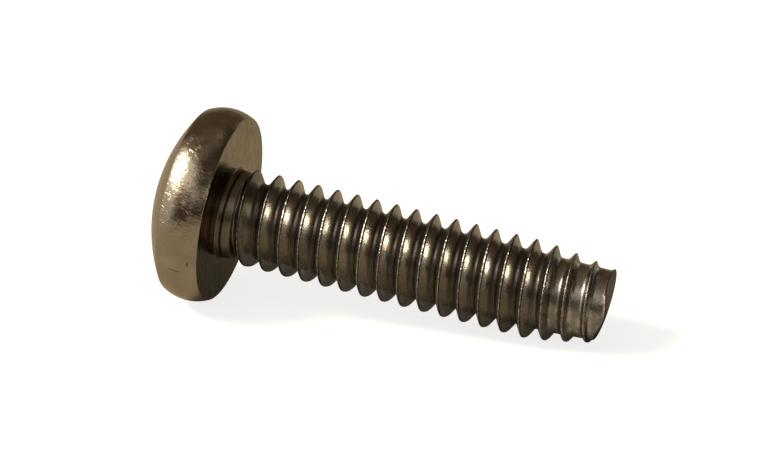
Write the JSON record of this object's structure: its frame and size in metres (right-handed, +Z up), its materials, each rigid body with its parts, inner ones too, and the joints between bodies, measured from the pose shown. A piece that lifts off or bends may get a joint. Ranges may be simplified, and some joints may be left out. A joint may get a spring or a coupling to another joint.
{
  "type": "thread rolling screw",
  "caption": "Pan-head thread rolling screw with a six-lobe socket, a three-lobed shank and lead threads that taper to a flat point, lying at rest.",
  "frame": {"origin": "centre of the bearing face under the head, on the shank's axis", "axes": "+Z up as the screw lies at rest; the shank runs towards +X and drops 7.9 degrees to its point; +Y completes the frame"},
  "size_m": [0.0288, 0.0123, 0.0122],
  "materials": {
    "plated_steel": "smooth plated steel with a warm brown-grey tone, lightly scratched"
  },
  "bodies": {
    "root": {"screw": "plated_steel"}
  },
  "joints": []
}
